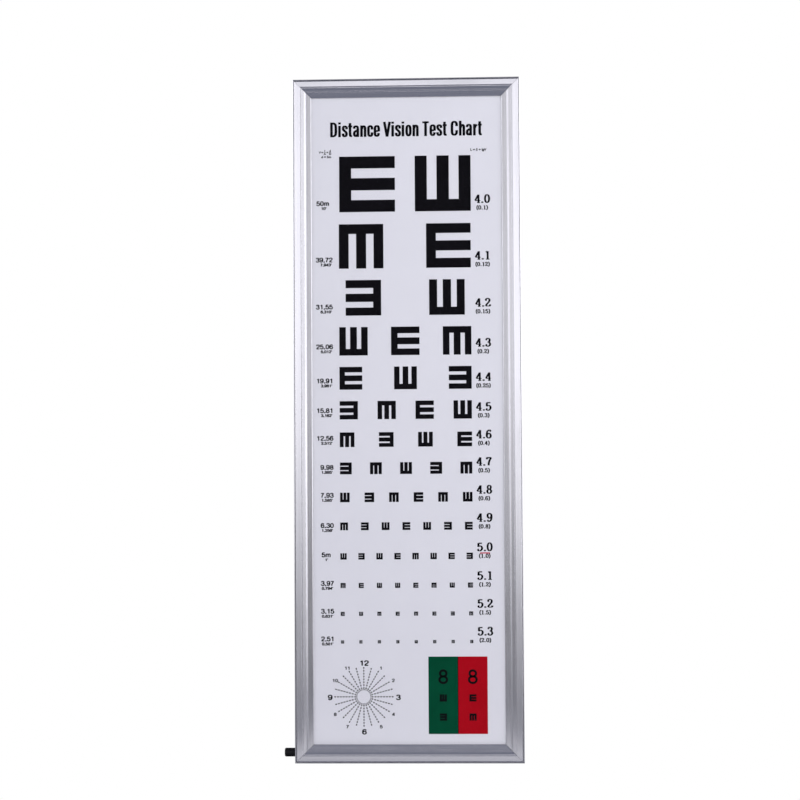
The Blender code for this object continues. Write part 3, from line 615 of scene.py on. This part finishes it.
FORMULA_X, FORMULA_Z = -106.6, 353.9
FRACTION_RISE = 2.0  # of a figure above its fraction line, and its drop below
FRACTION_LINE = (3.0, 0.5)


def make_title():
    edit = bmesh.new()
    add_text(edit, "Distance Vision Test Chart", TITLE, -0.3, 373.9, 19.7, 0.17, 0.125, 202.4,
             "centre")
    printed("print_title", edit, BLACK_INK)
    edit = bmesh.new()
    for text, x, rise in (("V", -8.0, 0), ("=", -4.8, 0), ("1", -1.4, 1), ("A", -1.4, -1),
                          ("=", 2.0, 0), ("d", 5.6, 1), ("D", 5.6, -1)):
        add_sans(edit, text, FORMULA_X + x, FORMULA_Z + rise * FRACTION_RISE, 2.7)
    wide, thick = FRACTION_LINE
    for x in (-1.4, 5.6):
        middle = FORMULA_X + x
        add_bar(edit, middle - wide / 2, middle + wide / 2, FORMULA_Z - thick / 2,
                FORMULA_Z + thick / 2)
    add_sans(edit, "d = 5m", -106.2, 347.9, 3.0)
    add_sans(edit, "L = 5 + lgV", 95.0, 355.2, 3.1)
    printed("print_formulas", edit, BLACK_INK)


UNDERLINE_LEFT, UNDERLINE_RIGHT, UNDERLINE_THICK, UNDERLINE_DROP = 93.6, 106.8, 1.4, 2.5


def make_underline():
    """The red line between the 5.0 mark, which is normal sight, and its decimal value."""
    edit = bmesh.new()
    index = [row[0] for row in ROWS].index("5.0")
    z = ROWS[index][5] - sign_size(index) / 2 + MARK_RISE - UNDERLINE_DROP
    add_bar(edit, UNDERLINE_LEFT, UNDERLINE_RIGHT, z - UNDERLINE_THICK / 2, z + UNDERLINE_THICK / 2)
    printed("print_underline_5.0", edit, LINE_RED_INK)


DIAL_X, DIAL_Z = -59.9, -363.8
SPOKES, SPOKE_START, SPOKE_END = 24, 10.4, 38.8
SPOKE_DASHES, SPOKE_DASH_SHARE, SPOKE_WIDTH = 8, 0.56, 1.6
RING_RADIUS, RING_DASHES, RING_DASH_SHARE, RING_WIDTH = 9.3, 30, 0.64, 1.15
NUMBERS_X, NUMBERS_Z, NUMBERS_RADIUS = DIAL_X + 0.5, DIAL_Z - 0.8, 44.8
NUMBERS_WIDEN = 1.22


def add_dash(edit, centre, angle, start, end, width):
    c, s = math.cos(angle), math.sin(angle)
    corners = ((start, -width / 2), (end, -width / 2), (end, width / 2), (start, width / 2))
    add_prism(edit, [(centre[0] + r * c - w * s, centre[1] + r * s + w * c) for r, w in corners])


def make_dial():
    edit = bmesh.new()
    pitch = (SPOKE_END - SPOKE_START) / (SPOKE_DASHES - 1 + SPOKE_DASH_SHARE)
    for spoke in range(SPOKES):
        angle = 2 * math.pi * spoke / SPOKES
        for number in range(SPOKE_DASHES):
            start = SPOKE_START + number * pitch
            add_dash(edit, (DIAL_X, DIAL_Z), angle, start, start + SPOKE_DASH_SHARE * pitch,
                     SPOKE_WIDTH)
    reach = math.pi * RING_RADIUS / RING_DASHES * RING_DASH_SHARE
    for number in range(RING_DASHES):
        angle = 2 * math.pi * number / RING_DASHES
        centre = (DIAL_X + RING_RADIUS * math.cos(angle), DIAL_Z + RING_RADIUS * math.sin(angle))
        add_dash(edit, centre, angle + math.pi / 2, -reach, reach, RING_WIDTH)
    printed("print_dial_lines", edit, BLACK_INK)
    edit = bmesh.new()
    for hour in range(1, 13):
        large = hour % 3 == 0
        height, weight, share = (6.6, 0.24, 1.0) if large else (4.1, 0.25, 0.985)
        angle = math.radians(90 - 30 * hour)
        x = NUMBERS_X + NUMBERS_RADIUS * share * math.cos(angle)
        z = NUMBERS_Z + NUMBERS_RADIUS * share * math.sin(angle)
        width = NUMBERS_WIDEN * height * text_width(str(hour), SANS)
        add_text(edit, str(hour), SANS, x, z - height / 2, height, weight, weight * 0.9, width,
                 "centre")
    printed("print_dial_numbers", edit, BLACK_INK)


BLOCK_X, BLOCK_Z = 63.6, -362.0
BLOCK_WIDTH, BLOCK_HEIGHT = 77.4, 100.9
BLOCK_SEAM = 0.85  # where the two inks overlap
BLOCK_SIGN, BLOCK_SIGN_DROPS = 8.2, (3.5, 28.4)
EIGHT_RISE, EIGHT_STROKE = 24.0, 2.9
EIGHT_RINGS = [(4.4, 4.2, 3.9), (-3.75, 5.0, 4.25)]  # rise and two radii of each


def make_colour_block():
    half = BLOCK_WIDTH / 2
    low, high = BLOCK_Z - BLOCK_HEIGHT / 2, BLOCK_Z + BLOCK_HEIGHT / 2
    for name, x0, x1, material, signs in (
            ("green", BLOCK_X - half, BLOCK_X, GREEN_INK, "UL"),
            ("red", BLOCK_X, BLOCK_X + half, RED_INK, "RD")):
        edit = bmesh.new()
        add_bar(edit, x0, x1, low, high)
        printed(f"print_block_{name}", edit, material)
        centre = (x0 + x1) / 2
        edit = bmesh.new()
        for rise, rx, rz in EIGHT_RINGS:
            def place(gx, gz, at=BLOCK_Z + EIGHT_RISE + rise):
                return centre + gx, at + gz

            add_stroke(edit, oval(0, 0, rx, rz, count=28), EIGHT_STROKE, EIGHT_STROKE, place, True,
                       OVERPRINT)
        for direction, drop in zip(signs, BLOCK_SIGN_DROPS):
            outline = sign_outline(centre, BLOCK_Z - drop, BLOCK_SIGN, direction)
            add_prism(edit, outline, OVERPRINT)
        printed(f"print_signs_{name}", edit, BLACK_INK)
    edit = bmesh.new()
    add_bar(edit, BLOCK_X - BLOCK_SEAM / 2, BLOCK_X + BLOCK_SEAM / 2, low, high, OVERPRINT)
    printed("print_block_seam", edit, BLACK_INK)


# ------------------------ face rails


def arc(centre, radius, start, end, step):
    count = max(1, round(abs(end - start) / step))
    angles = [math.radians(start + (end - start) * i / count) for i in range(count + 1)]
    return [(centre[0] + radius * math.cos(a), centre[1] + radius * math.sin(a)) for a in angles]


ROUND_STEPS = 4


def rounded(points, radii):
    """Rounds each corner of an open outline by its radius."""
    found = [points[0]]
    for i in range(1, len(points) - 1):
        radius = radii[i]
        p, q, r = Vector(points[i - 1]), Vector(points[i]), Vector(points[i + 1])
        if radius <= 0.0:
            found.append(tuple(q))
            continue
        a, b = (p - q).normalized(), (r - q).normalized()
        half = a.angle(b) / 2
        reach = min(radius / math.tan(half), (p - q).length * 0.45, (r - q).length * 0.45)
        start, end = q + a * reach, q + b * reach
        for k in range(ROUND_STEPS + 1):
            t = k / ROUND_STEPS
            found.append(tuple((1 - t) ** 2 * start + 2 * (1 - t) * t * q + t * t * end))
    found.append(points[-1])
    return found


SKIN_UNDER = 23.7
LIP_UNDER = 18.7
KNUCKLE_END = -264.0
GROOVE_SHADE_BOX = (10.68, 11.34, 23.3, 24.1)  # faces whose middle lies here get the painted groove shade


def face_rail_outline():
    """The CAD rail's section with rounded edges, and a narrow groove between shoulder and ridge.

    Each point is (inset, height) with the radius that rounds it, from the pivot inwards and back."""
    points = [((3.0, 25.0), 0.0), ((9.55, 25.0), 0.35), ((9.8, 24.5), 0.12), ((10.65, 24.2), 0.1),
              ((10.8, 23.5), 0.05), ((11.2, 23.45), 0.05), ((11.4, 24.05), 0.1), ((15.0, 22.25), 0.3),
              ((17.15, 22.63), 0.2), ((17.35, 22.55), 0.1), ((17.5, 22.07), 0.1),
              ((23.55, 19.8), 0.3), ((24.1, 19.45), 0.25), ((24.3, 19.15), 0.15),
              ((24.2, LIP_UNDER), 0.1), ((23.1, LIP_UNDER), 0.0), ((17.0, 21.15), 0.0),
              ((14.4, 21.5), 0.0), ((10.5, 22.75), 0.0), ((9.5, SKIN_UNDER), 0.0),
              ((8.8, SKIN_UNDER), 0.0), ((8.8, 20.2), 0.0), ((7.0, 20.2), 0.0), ((7.0, 20.8), 0.0),
              ((7.6, 21.0), 0.0), ((7.6, SKIN_UNDER), 0.0)]
    outline = rounded([point for point, _ in points], [radius for _, radius in points])
    knuckle_start = math.degrees(math.asin((SKIN_UNDER - PIVOT[1]) / KNUCKLE))
    return outline + arc(PIVOT, KNUCKLE, knuckle_start, KNUCKLE_END, 8.0)


SIDES = {
    "left": ((1, 0, 0), (-WIDTH / 2, 0, 0), HEIGHT),
    "right": ((-1, 0, 0), (WIDTH / 2, 0, 0), HEIGHT),
    "top": ((0, 0, -1), (0, 0, HEIGHT / 2), WIDTH),
    "bottom": ((0, 0, 1), (0, 0, -HEIGHT / 2), WIDTH),
}


def side_matrix(side):
    inward, middle, _ = SIDES[side]
    forward = Vector((0.0, -1.0, 0.0))
    along = Vector(inward).cross(forward)
    turn = Matrix((Vector(inward), forward, along)).transposed().to_4x4()
    return Matrix.Translation(Vector(middle) * MM) @ turn


def solid_between(name, first, last):
    """A solid with two matching ends, each a ring of (x, y, z) in millimetres."""
    edit = bmesh.new()
    rings = [[edit.verts.new(Vector(point) * MM) for point in ring] for ring in (first, last)]
    edit.faces.new(rings[0])
    edit.faces.new(rings[1])
    count = len(first)
    for i in range(count):
        k = (i + 1) % count
        edit.faces.new((rings[0][i], rings[0][k], rings[1][k], rings[1][i]))
    bmesh.ops.recalc_face_normals(edit, faces=edit.faces)
    return linked(name, edit)


def cut_mesh(obj, cutters):
    """The mesh of an object with its cutters taken out of it. The cutters are removed."""
    for cutter in cutters:
        boolean = obj.modifiers.new("cut", "BOOLEAN")
        boolean.object = cutter
        boolean.operation = "DIFFERENCE"
    graph = bpy.context.evaluated_depsgraph_get()
    mesh = bpy.data.meshes.new_from_object(obj.evaluated_get(graph))
    obj.modifiers.clear()
    for cutter in cutters:
        bpy.data.objects.remove(cutter)
    return mesh


def mitred_rail(name, outline, length):
    """The section drawn out along its side, with both ends cut at 45 degrees."""
    rings = [[(u, v, end * (length / 2 - u - MITRE_GAP)) for u, v in outline] for end in (-1, 1)]
    return solid_between(name, *rings)


# Cuts at both ends of a rail, so that rails can open side by side. Each reaches from the outer edge
# to an inset, over a length from the corner, between two heights.
RELIEF_PAST = 2.0
RELIEF_KNUCKLE, RELIEF_STEP = 5.1, 6.3
RELIEF_RIB, RELIEF_WIDTH = 12.0, 9.2
RELIEF_HEIGHTS = (18.2, 23.8)
# The tips are cut further: length from the corner, inset and two heights, by the rail's length
TIP_RELIEF = {WIDTH: (3.5, 3.2, 18.2, 27.0), HEIGHT: (4.0, 2.6, 18.1, 24.4)}


def end_cutters(length):
    cutters = []
    for end in (-1, 1):
        past = end * (length / 2 + RELIEF_PAST)
        knuckle, rib = end * (length / 2 - RELIEF_KNUCKLE), end * (length / 2 - RELIEF_RIB)
        tip_length, tip_inset, tip_low, tip_high = TIP_RELIEF[length]
        tip = end * (length / 2 - tip_length)
        for shape, low, high in (
                ([(0.0, knuckle), (RELIEF_STEP, knuckle), (RELIEF_STEP, rib), (RELIEF_WIDTH, rib),
                  (RELIEF_WIDTH, past), (0.0, past)], *RELIEF_HEIGHTS),
                ([(0.0, tip), (tip_inset, tip), (tip_inset, past), (0.0, past)], tip_low, tip_high)):
            rings = [[(inset, height, along) for inset, along in shape] for height in (low, high)]
            cutters.append(solid_between("cut", *rings))
    return cutters


def make_face_rails():
    outline = face_rail_outline()
    for side, (_, _, length) in SIDES.items():
        rail = mitred_rail(f"face_rail_{side}", outline, length)
        mesh = cut_mesh(rail, end_cutters(length))
        rail.data = mesh
        # Faces in the groove take the second material, the painted shade of the crease
        inset_low, inset_high, height_low, height_high = GROOVE_SHADE_BOX
        for face in mesh.polygons:
            inset, height, _ = face.center / MM
            takes_groove_shade = inset_low < inset < inset_high and height_low < height < height_high
            face.material_index = int(takes_groove_shade)
        mesh.transform(side_matrix(side))
        mesh.shade_smooth()
        mesh.set_sharp_from_angle(angle=math.radians(28))
        mesh.materials.clear()
        mesh.materials.append(METAL["upright" if length == HEIGHT else "level"])
        mesh.materials.append(GROOVE_SHADE)
        rail.modifiers.new("flat_facets", "WEIGHTED_NORMAL").keep_sharp = True
        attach(rail, f"snap_{side}")
        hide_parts(f"snap_rail_{side}")


# ------------------------ screws


SCREW_STEPS = 24
SUNK_HEAD = [(0.0, 0.0), (1.6, -0.04), (2.5, -0.14), (2.85, -0.32), (2.85, -0.5), (1.35, -1.55)]
PAN_HEAD = [(0.0, 0.0), (1.4, -0.08), (2.2, -0.35), (2.6, -0.8), (2.65, -1.78), (1.35, -1.78)]
RECESS = [(0.6, 1.75, 0.42), (-1.1, 0.6, 0.26)]  # height, reach and half width of the cross


THREAD_RADIUS, THREAD_CORE = 1.35, 1.05


def thread(start, end, pitch):
    """The shank of a screw as a profile: ridges from one height down to another."""
    found = []
    height = start
    while height - pitch > end:
        found += [(THREAD_CORE, height - 0.2 * pitch), (THREAD_RADIUS, height - 0.6 * pitch)]
        height -= pitch
    return found + [(THREAD_CORE, height - 0.2 * pitch)]


def turned(name, profile):
    """A turned solid: (radius, height) points down the z axis, the first and last on the axis."""
    edit = bmesh.new()
    rings = []
    for radius, height in profile:
        angles = [2 * math.pi * k / SCREW_STEPS for k in range(SCREW_STEPS if radius > 0 else 1)]
        points = [(radius * math.cos(a), radius * math.sin(a), height) for a in angles]
        rings.append([edit.verts.new(Vector(point) * MM) for point in points])
    for upper, lower in zip(rings, rings[1:]):
        for k in range(SCREW_STEPS):
            n = (k + 1) % SCREW_STEPS
            if len(upper) == 1:
                edit.faces.new((upper[0], lower[k], lower[n]))
            elif len(lower) == 1:
                edit.faces.new((upper[n], upper[k], lower[0]))
            else:
                edit.faces.new((upper[n], upper[k], lower[k], lower[n]))
    bmesh.ops.recalc_face_normals(edit, faces=edit.faces)
    return linked(name, edit)


def cross(height, reach, half):
    arm = [(reach, -half), (reach, half), (half, half)]
    points = []
    for _ in range(4):
        points += [(x, y, height) for x, y in arm]
        arm = [(-y, x) for x, y in arm]
    return points


def screw_mesh(name, profile):
    """A turned screw with a cross recess in its head."""
    screw = turned(name, profile)
    recess = solid_between("recess", *[cross(*level) for level in RECESS])
    mesh = cut_mesh(screw, [recess])
    bpy.data.objects.remove(screw)
    mesh.shade_smooth()
    mesh.set_sharp_from_angle(angle=math.radians(30))
    mesh.materials.clear()
    mesh.materials.append(MATERIALS["zinc_steel"])
    return mesh


def make_screws():
    """Screws with a recess and a thread, each in the place of its CAD node."""
    sunk = screw_mesh("sunk_screw", [*SUNK_HEAD, *thread(-1.7, -5.2, 0.7), (0.0, -6.35)])
    pan = screw_mesh("pan_screw", [*PAN_HEAD, *thread(-1.85, -3.2, 0.6), (0.0, -4.15)])
    for name, node in NODES.items():
        if "_screw_" not in name:
            continue
        corners = [node.matrix_world @ Vector(corner) for corner in node.bound_box]
        low = [min(corner[axis] for corner in corners) for axis in range(3)]
        high = [max(corner[axis] for corner in corners) for axis in range(3)]
        faces_back = name.startswith("back")
        head_y = high[1] if faces_back else low[1]
        turn = Matrix.Rotation(math.radians(-90 if faces_back else 90), 4, "X")
        twist = Matrix.Rotation(math.radians(37.0 * len(name) + 53.0 * int(name[-1])), 4, "Z")
        place = Vector(((low[0] + high[0]) / 2, head_y, (low[2] + high[2]) / 2))
        piece = bpy.data.objects.new(f"cross_{name}", (sunk if faces_back else pan).copy())
        piece.matrix_world = Matrix.Translation(place) @ turn @ twist
        bpy.context.scene.collection.objects.link(piece)
        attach(piece, ROOT)
        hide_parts(name)


# ------------------------ stage


def make_floor():
    edit = bmesh.new()
    bmesh.ops.create_grid(edit, x_segments=8, y_segments=8, size=5.0)
    pale = coated("floor_pale", (0.80, 0.80, 0.80), (0.78, 0.78, 0.78), 0.7, 40.0, 0.0002)
    floor = linked("floor", edit, [pale])
    floor.location.z = -1.2
    floor.visible_glossy = False


def between(value, marks):
    """Straight-line value from a short list of (place, amount) marks."""
    if value <= marks[0][0]:
        return marks[0][1]
    for (a, first), (b, last) in zip(marks, marks[1:]):
        if value <= b:
            return first + (last - first) * (value - a) / (b - a)
    return marks[-1][1]


# The studio light is one broad curved panel around the front, brightest in front and at both flanks.
# Each pair is (bearing in degrees, light), seen from above.
BAND_RADIUS, BAND_REACH, BAND_STEP = 4.6, 130, 2.5
BAND_BEARINGS = [(-130, 0.5), (-112, 2.0), (-74, 2.0), (-64, 1.35), (-57, 1.1), (-52, 0.85),
                 (-47, 0.54), (-36, 0.52), (-33, 0.7), (-30, 2.0), (-24, 2.1), (-19, 1.3),
                 (-14, 1.22), (0, 1.33), (12, 1.27), (17, 1.4), (22, 1.6), (26, 0.8), (30, 0.52),
                 (43, 0.5), (46, 0.9), (50, 1.55), (56, 1.8), (66, 2.4), (112, 2.4), (130, 0.5)]
# Share of that light at each height in metres: it fades out below the object and stops above it
BAND_LOW, BAND_RISE, BAND_ROWS = -0.85, 0.05, 53
BAND_HEIGHTS = [(-0.85, 0.0), (-0.60, 0.07), (-0.20, 0.70), (0.05, 0.90), (0.30, 1.0), (0.7, 0.95),
                (1.0, 0.93), (1.25, 1.02), (1.5, 1.02), (1.62, 0.2), (1.72, 0.0)]
# How far the lower fade is raised at each bearing, in metres, up to the height where it ends
BAND_FADE_TOP = 0.6
BAND_EDGE = [(-130, 0.3), (-60, 0.3), (-50, 0.2), (-36, 0.3), (-31, -0.15), (-22, -0.15),
             (-12, 0.16), (-8, 0.28), (-3, 0.12), (2, -0.02), (12, -0.04), (22, 0.02), (28, 0.5),
             (42, 0.5), (47, -0.1), (54, -0.15), (130, -0.2)]
BAND_COLOUR = (0.99, 0.978, 1.035)
BASE_LIGHT = 0.2
BASE_COLOUR = (0.90, 0.94, 1.20)


def emission(name, colour, strength=1.0, attribute=None):
    material = bpy.data.materials.new(name)
    material.use_nodes = True
    tree = material.node_tree
    tree.nodes.remove(tree.nodes["Principled BSDF"])
    glow = tree.nodes.new("ShaderNodeEmission")
    glow.inputs["Color"].default_value = (*colour, 1.0)
    glow.inputs["Strength"].default_value = strength
    if attribute:
        level = tree.nodes.new("ShaderNodeAttribute")
        level.attribute_name = attribute
        tree.links.new(level.outputs["Fac"], glow.inputs["Strength"])
    tree.links.new(glow.outputs[0], tree.nodes["Material Output"].inputs["Surface"])
    return material


def stage_panel(name, vertices, faces, material):
    mesh = bpy.data.meshes.new(name)
    mesh.from_pydata(vertices, [], faces)
    mesh.materials.append(material)
    panel = bpy.data.objects.new(name, mesh)
    bpy.context.scene.collection.objects.link(panel)
    panel.visible_camera = False
    panel.visible_shadow = False
    return panel


def make_light_band():
    count = round(2 * BAND_REACH / BAND_STEP) + 1
    vertices, levels = [], []
    for number in range(count):
        bearing = -BAND_REACH + BAND_STEP * number
        x = BAND_RADIUS * math.sin(math.radians(bearing))
        y = -BAND_RADIUS * math.cos(math.radians(bearing))
        edge = between(bearing, BAND_EDGE)
        light = between(bearing, BAND_BEARINGS)
        for row in range(BAND_ROWS):
            z = BAND_LOW + BAND_RISE * row
            share = between(z - edge if z < BAND_FADE_TOP else z, BAND_HEIGHTS)
            vertices.append((x, y, z))
            levels.append(BASE_LIGHT + (light - BASE_LIGHT) * share)
    high = BAND_ROWS
    faces = [(a * high + b, (a + 1) * high + b, (a + 1) * high + b + 1, a * high + b + 1)
             for a in range(count - 1) for b in range(high - 1)]
    band = stage_panel("light_band", vertices, faces,
                       emission("light_band_glow", BAND_COLOUR, attribute="level"))
    attribute = band.data.attributes.new("level", "FLOAT", "POINT")
    attribute.data.foreach_set("value", levels)


def level_panel(name, z, x, front, back, colour, strength):
    """A flat glowing panel at one height, as wide as 2 x, from the front to the back."""
    corners = [(-x, front, z), (x, front, z), (x, back, z), (-x, back, z)]
    return stage_panel(name, corners, [(0, 1, 2, 3)], emission(f"{name}_glow", colour, strength))


def make_foot_card():
    """A pale card lying in front of the object, which brightens the lower edge of the frame."""
    level_panel("foot_card", -0.458, 0.2, -0.1, -0.34, (0.98, 0.97, 1.06), 0.62)


def make_flags():
    """Dark flags above and below, which the rounded outer edges of the frame reflect."""
    for name, z, front, back in (("flag_above", 2.2, -1.1, 2.0), ("flag_below", -1.1, -0.42, 1.2)):
        flag = level_panel(name, z, 2.5, front, back, (0.9, 0.92, 1.2), 0.04)
        flag.visible_diffuse = False


def make_light(name, location, target, energy, side, glossy=True):
    data = bpy.data.lights.new(name, "AREA")
    data.energy = energy
    data.shape = "RECTANGLE"
    data.size, data.size_y = side, side
    light = bpy.data.objects.new(name, data)
    light.location = location
    light.rotation_euler = (Vector(target) - Vector(location)).to_track_quat("-Z", "Y").to_euler()
    light.visible_camera = False
    light.visible_glossy = glossy
    bpy.context.scene.collection.objects.link(light)


def make_world():
    world = bpy.data.worlds.new("studio")
    bpy.context.scene.world = world
    world.use_nodes = True
    tree = world.node_tree
    tree.nodes.clear()
    path = tree.nodes.new("ShaderNodeLightPath")
    seen, lit = tree.nodes.new("ShaderNodeBackground"), tree.nodes.new("ShaderNodeBackground")
    seen.inputs["Color"].default_value = (1.0, 1.0, 1.0, 1.0)
    lit.inputs["Color"].default_value = (*BASE_COLOUR, 1.0)
    lit.inputs["Strength"].default_value = BASE_LIGHT
    mix, out = tree.nodes.new("ShaderNodeMixShader"), tree.nodes.new("ShaderNodeOutputWorld")
    tree.links.new(path.outputs["Is Camera Ray"], mix.inputs["Fac"])
    tree.links.new(lit.outputs[0], mix.inputs[1])
    tree.links.new(seen.outputs[0], mix.inputs[2])
    tree.links.new(mix.outputs[0], out.inputs["Surface"])


CAMERA_PLACE = (0.1492, -3.169, -0.1106)
CAMERA_PAN, CAMERA_TILT, CAMERA_ROLL = 2.896, 2.461, 0.337  # degrees
CAMERA_LENS = 108.0


def make_camera():
    data = bpy.data.cameras.new("camera")
    data.sensor_width = 36.0
    data.lens = CAMERA_LENS
    data.clip_start, data.clip_end = 0.05, 60.0
    camera = bpy.data.objects.new("camera", data)
    camera.location = CAMERA_PLACE
    turns = ((CAMERA_PAN, "Z"), (CAMERA_TILT, "X"), (CAMERA_ROLL, "Y"), (90.0, "X"))
    pan, tilt, roll, level = [Matrix.Rotation(math.radians(angle), 4, axis) for angle, axis in turns]
    camera.rotation_euler = (pan @ tilt @ roll @ level).to_euler()
    bpy.context.scene.collection.objects.link(camera)
    bpy.context.scene.camera = camera


def make_stage():
    make_floor()
    make_light_band()
    make_foot_card()
    make_flags()
    make_world()
    make_light("key", (0.45, -1.6, 0.46), (0.03, 0, 0.2), 12.9, 0.9, glossy=False)
    make_light("back_left", (-2.2, 2.6, 1.4), (0, 0, 0), 55.0, 1.8)
    make_light("back_right", (2.4, 2.2, 0.9), (0, 0, 0), 40.0, 1.6)
    make_camera()
    scene = bpy.context.scene
    scene.view_settings.view_transform = "Standard"
    scene.view_settings.look = "None"


assign_cad_materials()
make_face_rails()
make_screws()
make_title()
make_rows()
make_underline()
make_dial()
make_colour_block()
make_stage()
